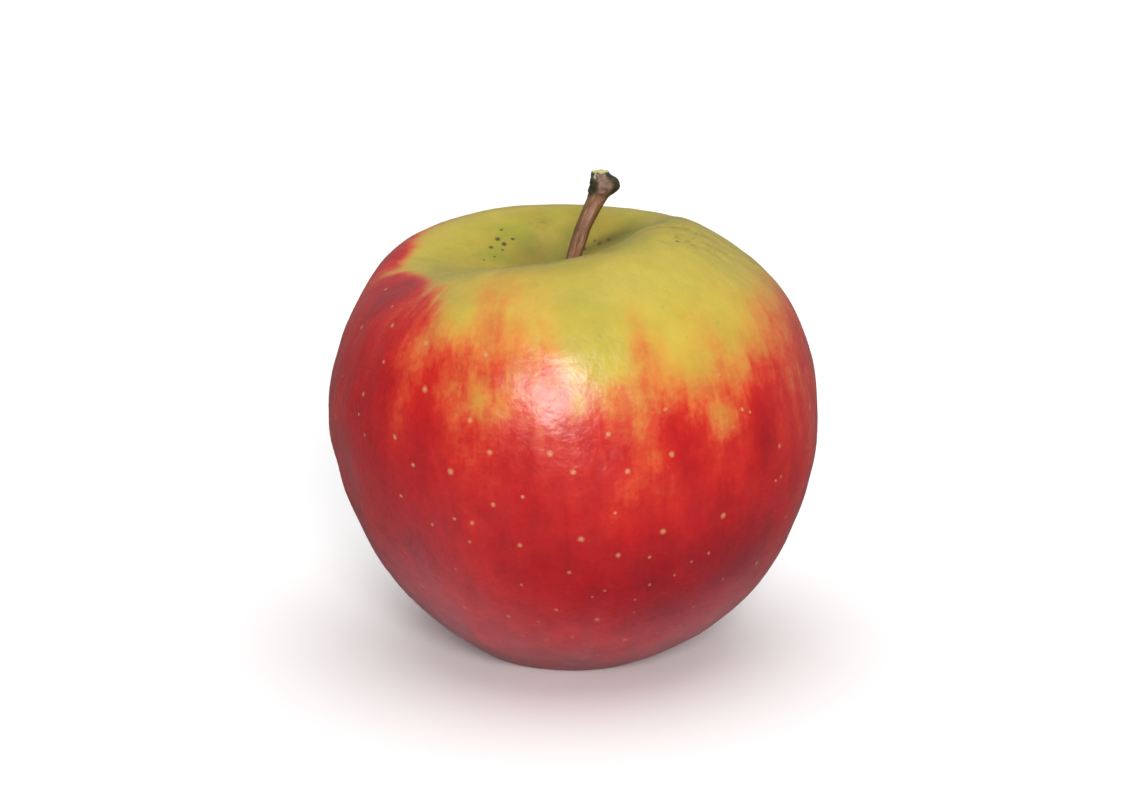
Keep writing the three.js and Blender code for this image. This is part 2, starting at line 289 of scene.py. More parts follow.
# Brush marks on it: angle, ring height, half width in degrees, half length in rows, amount.
BLUSH_MARKS = [
    (177.5, 12.05, 2.6, 0.40, -0.42), (163, 11.9, 5.0, 0.4, 0.12),
    (254, 11.5, 4.6, 0.6, 0.17), (263, 11.6, 8.0, 0.8, 0.11), (258.5, 10.4, 2.8, 0.4, -0.12),
    (267, 11.0, 2.6, 0.6, 0.10), (245, 10.7, 2.6, 0.3, 0.12), (231.5, 10.9, 2.6, 0.45, -0.20), (272, 10.05, 2.6, 0.22, -0.22),
    (308, 10.8, 5.0, 0.35, 0.12), (331, 10.9, 8.0, 0.35, 0.10), (308.5, 10.0, 2.6, 0.2, 0.16), (318, 9.4, 3.8, 0.3, 0.20),
    (300, 10.2, 4.0, 0.18, -0.12), (316, 10.2, 3.4, 0.18, -0.12), (254, 10.0, 4.4, 0.30, -0.30), (217.5, 11.95, 2.3, 0.33, -0.30), (247, 12.0, 12.0, 0.8, 0.20), (240, 11.5, 3.5, 0.5, -0.05),
    (288.5, 10.9, 3.0, 0.45, 0.22), (282, 10.15, 2.6, 0.18, 0.16), (295, 9.45, 3.0, 0.25, 0.08), (308, 9.35, 2.4, 0.4, 0.10),
    (192, 11.8, 12.0, 0.8, 0.22), (226, 12.2, 3.4, 0.25, 0.12), (229.5, 11.1, 2.0, 0.2, 0.14), (248.5, 11.5, 2.2, 0.35, 0.10),
    (256, 11.3, 1.8, 0.4, -0.12), (224, 10.5, 3.0, 0.25, -0.10), (262, 10.0, 5.0, 0.22, -0.10), (312, 8.4, 16.0, 0.8, 0.12), (294, 7.4, 11.0, 0.35, 0.16), (205, 11.8, 9.0, 0.8, 0.16),
    (102, 13.2, 5.0, 0.5, 0.20), (310, 10.4, 3.2, 0.35, 0.12), (287, 10.7, 3.5, 0.2, 0.10), (273, 10.0, 3.0, 0.2, -0.12), (330, 9.0, 6.0, 0.5, 0.15), (293.5, 10.75, 1.8, 0.3, 0.14), (293, 10.2, 4.5, 0.3, -0.08), (241, 10.65, 2.4, 0.3, 0.18), (303, 10.9, 4.0, 0.4, 0.12), (273, 11.4, 8.0, 0.8, 0.04), (320, 11.3, 7.0, 0.5, 0.08),
    (229, 10.7, 3.8, 0.5, -0.15), (226.5, 9.7, 3.2, 0.6, -0.11), (240, 10.35, 3.6, 0.3, -0.20), (249, 10.12, 3.0, 0.28, -0.40),
    (244, 9.9, 2.5, 0.3, -0.12), (236, 9.95, 3.5, 0.6, 0.12), (247, 9.45, 2.4, 0.4, -0.08),
    (284, 10.0, 4.0, 0.4, -0.10), (288, 9.7, 3.0, 0.4, -0.06), (305.5, 9.72, 3.4, 0.26, -0.30), (303, 10.1, 3.0, 0.2, 0.08),
    (309, 9.25, 3.0, 0.3, -0.03), (294, 9.75, 3.2, 0.5, 0.16), (317, 9.75, 4.0, 0.75, 0.15), (297, 9.2, 4.5, 0.5, 0.10),
    (332, 9.9, 2.2, 0.5, -0.16), (214, 9.9, 8.0, 1.2, 0.14), (200, 11.0, 13.0, 1.2, 0.12), (264, 9.2, 10.0, 0.6, 0.12), (222, 8.8, 14.0, 0.9, 0.16), (234, 9.5, 4.0, 0.6, 0.06),
    (288, 8.3, 24.0, 0.65, 0.24), (262, 8.4, 14.0, 0.5, 0.08), (300, 7.6, 16.0, 0.7, 0.14), (318, 8.1, 14.0, 0.6, 0.24), (272, 7.6, 26.0, 0.8, 0.14),
    (232, 8.6, 12.0, 0.7, 0.05), (277, 8.85, 3.5, 0.3, -0.06), (283, 9.35, 5.0, 0.3, -0.04), (270, 8.7, 3.0, 0.4, -0.08),
    (20, 10.2, 4.0, 0.8, -0.30), (44, 9.6, 3.5, 0.9, -0.22), (58, 10.6, 3.0, 0.7, 0.22), (74, 9.9, 3.0, 0.6, -0.26),
    (94, 10.8, 4.0, 0.7, 0.18), (110, 10.2, 3.2, 0.8, -0.30), (131, 9.6, 4.0, 0.9, -0.16), (149, 10.7, 3.0, 0.6, -0.20),
    (80, 8.4, 20.0, 0.8, 0.18), (140, 8.6, 22.0, 0.8, 0.15), (25, 8.2, 16.0, 0.6, 0.15)]


def blush(theta_deg, t):
    """0 is the yellow ground colour, 1 full red, above 1 crimson."""
    table = np.array(BLUSH_EDGE, float)
    at = np.concatenate([table[:, 0] - 360, table[:, 0], table[:, 0] + 360])
    edge = np.interp(theta_deg % 360, at, np.tile(table[:, 1], 3))
    soft = np.interp(theta_deg % 360, at, np.tile(table[:, 2], 3))
    depth = edge - t
    amount = smooth(depth, -0.75 * soft, 0.85 * soft) * 0.76 + 0.14 * smooth(depth, 0.8, 2.8)
    for a, c, wide, long, strength in BLUSH_MARKS:
        amount = amount + strength * np.exp(-(around(theta_deg, a) / wide) ** 2 - ((t - c) / long) ** 2)
    # the red thins out into the calyx basin
    ragged = 0.25 * np.cos(np.radians(5 * theta_deg + 40)) + 0.16 * np.cos(np.radians(13 * theta_deg)) \
        + 0.12 * np.cos(np.radians(29 * theta_deg + 70))
    keep = smooth(t + ragged, 3.4, 5.6)
    return amount * keep


# Pale skin dots at the front and dark specks in the cavity: angle, ring height, radius mm.
DOTS_FRONT = [
    (234.8, 10.18, 0.50), (250.8, 10.71, 0.42), (251.9, 9.52, 0.40), (242.2, 9.26, 0.48), (265.2, 9.54, 0.42),
    (270.1, 9.35, 0.42), (278.2, 9.73, 0.38), (282.0, 9.34, 0.44), (292.2, 9.47, 0.44), (291.5, 9.94, 0.28),
    (252.1, 8.97, 0.36), (258.8, 9.07, 0.30), (257.4, 8.54, 0.36), (268.5, 8.24, 0.34), (271.4, 8.64, 0.46),
    (279.0, 8.92, 0.28), (279.9, 8.45, 0.42), (290.2, 8.68, 0.42), (305.5, 8.75, 0.44), (323.0, 9.30, 0.30),
    (241.9, 8.74, 0.30), (227.1, 8.86, 0.32), (226.5, 9.52, 0.40), (232.0, 9.25, 0.36), (235.4, 8.62, 0.26),
    (287.6, 8.39, 0.28), (294.8, 8.13, 0.26), (288.5, 8.04, 0.24), (256.4, 8.04, 0.26), (239.4, 8.13, 0.24),
    (208.2, 11.48, 0.30), (219.2, 10.45, 0.28), (213.2, 9.92, 0.32), (212.5, 9.64, 0.24), (215.6, 9.43, 0.24),
    (232.4, 10.86, 0.42), (247.2, 9.86, 0.42), (246.4, 8.73, 0.34), (245.1, 8.51, 0.28), (306.9, 10.22, 0.36),
    (311.8, 9.79, 0.30), (314.0, 9.74, 0.24), (321.8, 8.96, 0.28), (323.8, 8.98, 0.24), (303.2, 8.34, 0.26),
    (298.8, 8.27, 0.22), (277.1, 8.01, 0.24), (274.0, 7.92, 0.22), (285.1, 7.85, 0.24), (285.5, 7.64, 0.22),
    (316.0, 11.60, 0.20), (297.0, 11.25, 0.26), (301.0, 10.75, 0.22), (283.0, 11.60, 0.20), (275.0, 11.55, 0.18)]
SPECKS = [
    (122.0, 13.14, 0.30), (127.9, 13.30, 0.50), (127.0, 13.45, 0.48), (119.9, 13.42, 0.34), (135.6, 13.39, 0.40),
    (131.0, 13.55, 0.26), (150.4, 13.54, 0.26), (141.0, 13.60, 0.22), (53.4, 13.67, 0.46), (59.3, 13.76, 0.40),
    (70.6, 13.86, 0.36), (64.0, 13.70, 0.24), (324.4, 12.50, 0.34), (335.5, 12.80, 0.26), (330.0, 12.30, 0.18)]
# Fine healed cracks on the right shoulder, as lines of (angle, ring height).
CRACKS = [
    [(322, 13.3), (334.9, 12.89), (340.5, 12.64), (347.8, 12.39), (354.2, 12.19), (357.0, 12.0), (355.0, 11.75)],
    [(327, 12.42), (331.5, 12.27), (335.5, 12.13), (338.0, 11.99), (337.5, 11.85)],
    [(318, 12.62), (323.0, 12.52), (327.0, 12.55)],
    [(341, 12.2), (345.0, 12.02), (346.5, 11.8)]]


def random_dots():
    """Seeded dots over the rest of the skin, evenly spread, smaller and closer towards the calyx."""
    rng = np.random.default_rng(41)
    placed = [(a, t, r) for a, t, r in DOTS_FRONT]
    points = [skin(math.radians(a), t) for a, t, _ in placed]
    for _ in range(3600):
        a, t = rng.uniform(0, 360), rng.uniform(4.6, 13.2)
        front = 200 < a < 328 and 8.0 < t < 10.8
        p = skin(math.radians(a), t)
        if rng.uniform() > np.linalg.norm(p[:2]) / 38.0:
            continue
        low = smooth(np.array(t), 8.4, 5.4)
        gap = 6.2 - 2.6 * float(smooth(np.array(8.6 - t), 0.0, 3.2))
        if front:
            continue
        if np.sqrt(((np.array(points) - p) ** 2).sum(-1).min()) < gap * rng.uniform(0.75, 1.25):
            continue
        size = rng.uniform(0.22, 0.46) * (0.75 if t < 7 else 1.0) * (0.8 if t > 11.4 else 1.0)
        placed.append((a, t, size))
        points.append(p)
    return placed


# ------------------------------------------------------------------ fruit
def fruit_material():
    n = Nodes("apple_skin")
    blush_in = n.attribute("blush")
    mer = n.attribute("mer", "Vector")       # (radius-scaled direction, length along the skin), mm
    hide = n.attribute("russet")             # rough brown skin in the cavity and on the right shoulder
    green = n.attribute("green")
    pos = n.position()

    # streaks that run with the meridians, broad to fine
    def stretched(along, around=1.0):
        return n.vector("MULTIPLY", mer, (around, around, along))

    broad = n.noise(stretched(0.34), 0.13, 3.0, 0.55, 0.3)
    mid = n.noise(stretched(0.26), 0.42, 3.0, 0.55, 0.3)
    fine = n.noise(stretched(0.22), 1.3, 2.0, 0.5)
    mottle = n.noise(pos, 1100.0, 3.0, 0.6)
    blotch = n.noise(pos, 230.0, 4.0, 0.6)

    def centred(value, gain):
        return n.math("MULTIPLY", n.math("SUBTRACT", value, 0.5), gain)

    streak = n.math("ADD", centred(broad, 0.50), centred(mid, 0.33))
    streak = n.math("ADD", streak, centred(fine, 0.15))
    streak = n.math("ADD", streak, centred(blotch, 0.46))
    streak = n.math("ADD", streak, centred(mottle, 0.30))
    # streaks show most where the red breaks up, least in the plain ground colour
    gain = n.span(blush_in, 0.0, 0.45, 0.16, 1.0)
    gain = n.math("MULTIPLY", gain, n.span(blush_in, 0.75, 1.15, 1.0, 0.55))
    value = n.math("ADD", blush_in, n.math("MULTIPLY", streak, gain))
    value = n.math("DIVIDE", value, 1.3, clamp=True)
    colour = n.ramp(value, [
        (0.00, linear(0.715, 0.645, 0.245)),
        (0.13, linear(0.745, 0.610, 0.228)),
        (0.25, linear(0.775, 0.525, 0.215)),
        (0.37, linear(0.775, 0.410, 0.185)),
        (0.49, linear(0.765, 0.250, 0.125)),
        (0.61, linear(0.725, 0.110, 0.062)),
        (0.74, linear(0.670, 0.040, 0.048)),
        (0.87, linear(0.595, 0.010, 0.050)),
        (1.00, linear(0.500, 0.005, 0.062))])
    # greener ground colour in and around the cavity
    ground_green = n.mix(n.span(n.noise(pos, 150.0, 4.0, 0.6), 0.34, 0.66), linear(0.555, 0.545, 0.135), linear(0.655, 0.575, 0.190))
    calm = n.span(blush_in, 0.1, 0.6, 1.0, 0.0)
    colour = n.mix(n.math("MULTIPLY", green, calm), colour, ground_green)
    # the dull waxy bloom of the lower half, partly painted haze: painted reflection at the left and right edges
    bloom_and_painted_haze = n.math("MULTIPLY", n.attribute("bloom_and_painted_haze"), n.span(broad, 0.25, 0.75, 0.7, 1.2, "LINEAR"))
    # painted light from below: the bloom colour turns lighter towards the bottom
    split = n.tree.nodes.new("ShaderNodeSeparateXYZ")
    n.link(pos, split.inputs[0])
    wax_and_painted_bounce = n.mix(n.span(split.outputs["Z"], 0.007, 0.026), linear(0.610, 0.450, 0.485), linear(0.480, 0.375, 0.405))
    colour = n.mix(bloom_and_painted_haze, colour, wax_and_painted_bounce)
    # faint darker and lighter clouds everywhere
    clouds = n.span(n.noise(pos, 260.0, 4.0, 0.6), 0.25, 0.75, 0.90, 1.08, "LINEAR")
    cloud_rgb = n.tree.nodes.new("ShaderNodeCombineColor")
    for k in range(3):
        n.link(clouds, cloud_rgb.inputs[k])
    colour = n.mix(1.0, colour, cloud_rgb.outputs[0], "MULTIPLY")

    # russet: thin broken arcs and a brown veil
    arcs_at = n.vector("MULTIPLY", mer, (0.35, 0.35, 2.6))
    arcs = n.noise(arcs_at, 0.9, 3.0, 0.6, 0.4)
    lines = n.span(n.math("ABSOLUTE", n.math("SUBTRACT", arcs, 0.5)), 0.0, 0.035, 1.0, 0.0)
    lines = n.math("MULTIPLY", lines, n.span(n.noise(pos, 420.0, 2.0, 0.5), 0.45, 0.6))
    veil = n.span(n.noise(pos, 620.0, 4.0, 0.65), 0.42, 0.7)
    amount = n.math("MULTIPLY", hide, n.math("MAXIMUM", lines, n.math("MULTIPLY", veil, 0.35)), clamp=True)
    colour = n.mix(n.math("MULTIPLY", amount, 0.85), colour, linear(0.450, 0.300, 0.150))

    # skin dots: each face knows the nearest dot
    centre = n.attribute("dot", "Vector")
    radius = n.attribute("dot_radius")
    tone = n.attribute("dot_tone")
    wobble = n.vector("SCALE", n.vector("SUBTRACT", n.noise(pos, 1500.0, 2.0, 0.5, output="Color"), (0.5, 0.5, 0.5)), scale=0.00035)
    away = n.vector("DISTANCE", n.vector("ADD", pos, wobble), centre)
    share = n.math("DIVIDE", away, n.math("MAXIMUM", radius, 1e-6))
    inside = n.math("MULTIPLY", n.span(share, 0.20, 1.40, 1.0, 0.0), n.span(radius, 0.0, 0.00005))
    pale = n.mix(n.span(blush_in, 0.1, 0.6), linear(0.560, 0.560, 0.280), linear(0.770, 0.570, 0.370))
    pale = n.mix(n.span(share, 0.0, 0.5, 0.30, 0.0), pale, linear(0.700, 0.640, 0.450))
    strength = n.math("MULTIPLY", inside, n.span(blush_in, 0.05, 0.6, 0.42, 0.66))
    strength = n.math("MULTIPLY", strength, n.attribute("dot_power"))
    colour = n.mix(n.math("MULTIPLY", strength, n.math("SUBTRACT", 1.0, tone)), colour, pale)
    colour = n.mix(n.math("MULTIPLY", n.math("MULTIPLY", inside, tone), 0.9), colour, linear(0.160, 0.140, 0.035))

    # painted shade with some duller olive skin: darker in the stem cavity, in the valley beside the stem, under the
    # near rim and in the calyx basin
    dull_and_shade = n.attribute("dull_and_painted_shade")
    colour = n.mix(n.math("MULTIPLY", dull_and_shade, 0.80), colour, linear(0.280, 0.235, 0.055))

    # orange-peel surface
    peel = n.noise(pos, 520.0, 2.0, 0.5)
    grain = n.noise(pos, 1500.0, 2.0, 0.5)
    normal = n.bump(peel, 0.000145, 0.9)
    normal = n.bump(grain, 0.000045, 0.9, normal)
    normal = n.bump(n.math("MULTIPLY", inside, n.math("SUBTRACT", 0.6, tone)), 0.00005, 0.6, normal)
    normal = n.bump(n.math("MULTIPLY", amount, -1.0), 0.00005, 0.6, normal)
    rough = n.span(n.noise(pos, 240.0, 3.0, 0.5), 0.3, 0.7, 0.28, 0.37, "LINEAR")
    rough = n.math("ADD", rough, n.math("MULTIPLY", n.math("MAXIMUM", amount, inside), 0.22), clamp=True)
    n.link(normal, n.shader.inputs["Normal"])
    return n.finish(Base_Color=colour, Roughness=rough, IOR=1.45, Specular_IOR_Level=0.5,
                    Sheen_Weight=0.03, Sheen_Roughness=0.45, Coat_Weight=0.08, Coat_Roughness=0.22)


# Waxy bloom of the lower half mixed with painted haze: the patches at the right edge (347°) and the left edge (184°)
# are painted edge reflection, and the lower patches are partly real bloom, partly painted haze
def bloom_and_painted_haze(theta_deg, t):
    side = 0.5 - 0.5 * np.cos(np.radians(theta_deg - 275))
    low = smooth(8.3 + 1.4 * side - t, 0, 2.2) * smooth(t, 3.6, 5.4)
    # painted reflection: edge haze at 347° and at 184°
    right = 0.14 * np.exp(-(around(theta_deg, 347) / 19) ** 2 - ((t - 9.9) / 1.5) ** 2)
    right = right + 0.08 * np.exp(-(around(theta_deg, 184) / 13) ** 2 - ((t - 11.5) / 0.8) ** 2)
    # partly real bloom, partly painted haze, low on the left
    left = 0.28 * np.exp(-(around(theta_deg, 226) / 20) ** 2 - ((t - 7.9) / 0.9) ** 2)
    low = low * (1 - 0.97 * np.exp(-(around(theta_deg, 286) / 24) ** 2 - ((t - 8.5) / 0.75) ** 2))
    left = left + 0.22 * np.exp(-(around(theta_deg, 206) / 9) ** 2 - ((t - 9.0) / 0.5) ** 2)
    # partly real bloom, partly painted haze, low on the right
    right = right + 0.26 * np.exp(-(around(theta_deg, 322) / 20) ** 2 - ((t - 7.3) / 0.8) ** 2)
    return np.clip(low * (0.46 + 0.20 * side) + left + right, 0, 1)


def crack_distance(points):
    """Distance in mm from each point to the nearest healed crack."""
    away = np.full(points.shape[:-1], 1e9)
    for line in CRACKS:
        line = np.array(line, float)
        fine = np.linspace(0, len(line) - 1, 60)
        a = np.interp(fine, np.arange(len(line)), line[:, 0])
        t = np.interp(fine, np.arange(len(line)), line[:, 1])
        for p in skin(np.radians(a), t):
            away = np.minimum(away, ((points - p) ** 2).sum(-1))
    return np.sqrt(away)


def russet_mask(theta_deg, t, away):
    cavity = smooth(t, 13.9, 15.0) * 0.6
    far_wall = 0.75 * np.exp(-(around(theta_deg, 103) / 8) ** 2 - ((t - 13.3) / 0.45) ** 2)
    shoulder = 0.75 * np.exp(-(around(theta_deg, 335) / 16) ** 2 - ((t - 12.35) / 0.45) ** 2)
    eye = smooth(t, 3.6, 1.6) * 0.7
    return np.clip(cavity + far_wall + shoulder + eye + 0.95 * np.exp(-(away / 0.55) ** 2), 0, 1)


def stem_at(z):
    table = np.array(STEM_SLICES)
    return [float(np.interp(z, table[:, 0], table[:, k])) for k in (1, 2, 3, 4)]


def build_fruit():
    theta = np.arange(COLS) * (2 * np.pi / COLS)
    t = np.linspace(1.0, 15.5, SKIN_STEPS)
    TH, T = np.meshgrid(theta, t)
    P = skin(TH, T)
    # outward normals of the grid
    d_theta = np.roll(P, -1, 1) - np.roll(P, 1, 1)
    d_t = np.gradient(P, axis=0)
    normal = np.cross(d_theta, d_t)
    length = np.linalg.norm(normal, axis=-1, keepdims=True)
    normal = normal / np.maximum(length, 1e-9)
    # uneven growth finer than the CAD's: broad soft facets, small dents, faint ribs
    deg = np.degrees(TH)
    shape = 0.16 * waves(P, 17.0, 26, 3) + 0.07 * waves(P, 7.5, 30, 4) + 0.022 * waves(P, 3.2, 40, 5)
    crack = crack_distance(P)
    shape += -0.16 * np.exp(-(crack / 0.6) ** 2) + 0.07 * np.exp(-((crack - 1.5) / 0.8) ** 2)
    calm = smooth(P[..., 2], 0.3, 4.0) * smooth(T, 1.2, 2.4) * smooth(15.4 - T, 0.0, 0.8)
    lift = normal * (shape * calm)[..., None]
    P = P + lift

    pit = [np.stack([EYE[0] + r * np.cos(theta), EYE[1] + r * np.sin(theta), np.full(COLS, z)], -1) + SHIFT
           for r, z in CALYX_PIT[1:]]
    socket = []
    for z, clear in SOCKET:
        x, y, hx, hy = stem_at(z)
        socket.append(np.stack([x + (hx + clear) * np.cos(theta), y + (hy + clear) * np.sin(theta), np.full(COLS, z)], -1) + SHIFT)
    rows = np.concatenate([np.array(pit), P, np.array(socket)])
    row_t = np.concatenate([np.linspace(0.2, 0.9, len(pit)), t, np.linspace(15.6, 16.0, len(socket))])
    verts = rows.reshape(-1, 3)
    count = len(verts)
    faces = tube_faces(len(rows), COLS)
    faces = [f for f in faces]
    top = np.array([stem_at(51.9)[0], stem_at(51.9)[1], 51.6]) + SHIFT
    eye = np.array([EYE[0], EYE[1], CALYX_PIT[0][1]]) + SHIFT
    verts = np.concatenate([verts, [eye, top]])
    last = count - COLS
    for i in range(COLS):
        k = (i + 1) % COLS
        faces.append((count, k, i))
        faces.append((count + 1, last + i, last + k))
    obj = new_mesh("skin_and_flesh", verts, faces, fruit_material())

    deg_rows = np.tile(np.degrees(theta), (len(rows), 1))
    t_rows = np.tile(row_t[:, None], (1, COLS))
    red = np.clip(blush(deg_rows, t_rows), 0, 1.3)
    # length along the skin from the equator, averaged around, so the streaks keep their scale
    mean = rows.mean(1)
    radius = np.linalg.norm(rows - mean[:, None], axis=-1).mean(1)
    step = np.hypot(np.diff(radius), np.diff(mean[:, 2]))
    s = np.concatenate([[0], np.cumsum(step)])
    mer = np.stack([37 * np.cos(np.radians(deg_rows)), 37 * np.sin(np.radians(deg_rows)), np.tile(s[:, None], (1, COLS))], -1)
    green = smooth(t_rows, 12.2, 13.4) * 0.9 + smooth(4.4 - t_rows, 0, 1.6) * 0.8
    green += 0.5 * np.exp(-(around(deg_rows, 276) / 9) ** 2 - ((t_rows - 11.3) / 1.0) ** 2)
    # painted shade, with some duller olive skin: a shadowed valley right of the stem and a line along it, shade lines
    # under the near rim, the far cavity wall, then darker down into the cavity and the calyx basin
    dull_and_painted_shade = 0.40 * np.exp(-(around(deg_rows, 50) / 15) ** 2 - ((t_rows - 13.5) / 0.42) ** 2)
    for angle, row, amount in ((35, 13.40, 0.22), (43, 13.50, 0.30), (51, 13.62, 0.38), (59, 13.74, 0.44), (67, 13.88, 0.48)):
        dull_and_painted_shade += amount * np.exp(-(around(deg_rows, angle) / 7) ** 2 - ((t_rows - row) / 0.15) ** 2)
    dull_and_painted_shade += 0.22 * np.exp(-(around(deg_rows, 270) / 16) ** 2 - ((t_rows - 12.45) / 0.25) ** 2)
    dull_and_painted_shade += 0.40 * np.exp(-(around(deg_rows, 112) / 20) ** 2 - ((t_rows - 13.8) / 0.35) ** 2)
    dull_and_painted_shade += 0.30 * np.exp(-(around(deg_rows, 268) / 32) ** 2 - ((t_rows - 12.95) / 0.22) ** 2)
    dull_and_painted_shade += 0.50 * smooth(t_rows, 13.3, 14.4) + 0.6 * smooth(t_rows, 14.4, 15.5) + smooth(2.6 - t_rows, 0, 1.6)

    def points(values, at_eye, at_top):
        flat = values.reshape(count, -1) if values.ndim == 3 else values.reshape(count)
        return np.concatenate([flat, np.array([at_eye, at_top], dtype=float).reshape(2, *flat.shape[1:])])

    put(obj, "blush", points(red, 0, 0))
    put(obj, "mer", points(mer, (0, 0, 0), (0, 0, float(s[-1]))))
    away = crack_distance(rows)
    put(obj, "russet", points(russet_mask(deg_rows, t_rows, away), 1, 1))
    # bloom mask with painted edge haze
    put(obj, "bloom_and_painted_haze", points(bloom_and_painted_haze(deg_rows, t_rows), 0, 0))
    put(obj, "green", points(np.clip(green, 0, 1), 1, 1))
    # mask of painted shade and duller skin in the cavity and calyx
    put(obj, "dull_and_painted_shade", points(np.clip(dull_and_painted_shade, 0, 1), 1, 1))

    # nearest dot of each face
    mesh = obj.data
    centres = np.zeros(len(mesh.polygons) * 3)
    mesh.polygons.foreach_get("center", centres)
    centres = centres.reshape(-1, 3) / MM
    dot = np.zeros((len(centres), 3))
    dot_radius = np.zeros(len(centres))
    dot_tone = np.zeros(len(centres))
    dot_power = np.zeros(len(centres))
    best = np.full(len(centres), 1e9)
    for (a, tt, r), tone in [(d, 0.0) for d in random_dots()] + [(d, 1.0) for d in SPECKS]:
        at = skin(math.radians(a), tt)
        # onto the displaced skin
        i, j = int(round(a % 360 / 360 * COLS)) % COLS, int(round((tt - 1.0) / 14.5 * (SKIN_STEPS - 1)))
        at = at + lift[j, i]
        gap = np.sqrt(((centres - at) ** 2).sum(-1))
        hit = (gap < r * 1.6 + 0.75) & (gap - r < best)
        best[hit] = (gap - r)[hit]
        dot[hit], dot_radius[hit], dot_tone[hit] = at * MM, r * MM, tone
        dot_power[hit] = 0.38 + 0.62 * float(smooth(np.array(tt), 7.0, 9.2))
    put(obj, "dot", dot, "FACE")
    put(obj, "dot_radius", dot_radius, "FACE")
    put(obj, "dot_tone", dot_tone, "FACE")
    put(obj, "dot_power", dot_power, "FACE")
    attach(obj, "root")
    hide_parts("fruit")
    return obj


# ------------------------------------------------------------------ stem
def stem_material():
    n = Nodes("stem_bark")
    pos = n.position()
    grain_at = n.attribute("grain", "Vector")
    knob = n.attribute("knob")
    broken = n.attribute("broken")
    fibre = n.noise(grain_at, 1.5, 4.0, 0.6)
    patch = n.noise(pos, 420.0, 3.0, 0.6)
    colour = n.ramp(fibre, [(0.25, linear(0.370, 0.240, 0.160)), (0.42, linear(0.490, 0.330, 0.230)),
                            (0.58, linear(0.600, 0.425, 0.325)), (0.78, linear(0.710, 0.560, 0.470))])
    colour = n.mix(n.span(patch, 0.44, 0.75, 0.0, 0.50), colour, linear(0.450, 0.350, 0.150))
    colour = n.mix(n.span(n.noise(pos, 800.0, 3.0, 0.6), 0.55, 0.75, 0.0, 0.45), colour, linear(0.280, 0.190, 0.110))
    # darker olive towards the foot inside the cavity: partly the stem's own greener base, partly painted shade
    low = n.attribute("foot")
    colour = n.mix(n.math("MULTIPLY", low, 0.65), colour, linear(0.250, 0.210, 0.070))
    # painted shade: the shaft turns darker olive towards its left and right sides
    split = n.tree.nodes.new("ShaderNodeSeparateXYZ")
    n.link(grain_at, split.inputs[0])
    side = n.math("ABSOLUTE", split.outputs["X"])
    colour = n.mix(n.math("MULTIPLY", n.span(side, 1.2, 2.15), 0.55), colour, linear(0.330, 0.270, 0.115))
    crust = n.noise(pos, 700.0, 4.0, 0.65)
    edge = n.ramp(crust, [(0.34, linear(0.060, 0.080, 0.040)), (0.50, linear(0.170, 0.180, 0.095)),
                          (0.60, linear(0.290, 0.280, 0.170)), (0.68, linear(0.720, 0.740, 0.640))])
    core = n.ramp(crust, [(0.34, linear(0.260, 0.200, 0.150)), (0.50, linear(0.420, 0.310, 0.255)),
                          (0.68, linear(0.540, 0.420, 0.350))])
    # knob: its own dark bark with pale flecks, placed towards its left and right sides, so partly painted shade there
    dark = n.mix(n.span(n.math("ADD", side, n.math("MULTIPLY", n.math("SUBTRACT", crust, 0.5), 2.0)), 0.75, 1.35), core, edge)
    colour = n.mix(n.math("MULTIPLY", knob, 0.92), colour, dark)
    pith = n.mix(n.noise(pos, 1400.0, 3.0, 0.6), linear(0.620, 0.620, 0.330), linear(0.850, 0.820, 0.570))
    colour = n.mix(broken, colour, pith)
    normal = n.bump(fibre, 0.00012, 0.5)
    normal = n.bump(n.noise(pos, 1300.0, 3.0, 0.6), 0.00008, 0.4, normal)
    n.link(normal, n.shader.inputs["Normal"])
    rough = n.span(patch, 0.3, 0.7, 0.45, 0.65, "LINEAR")
    return n.finish(Base_Color=colour, Roughness=rough, IOR=1.45, Specular_IOR_Level=0.5)


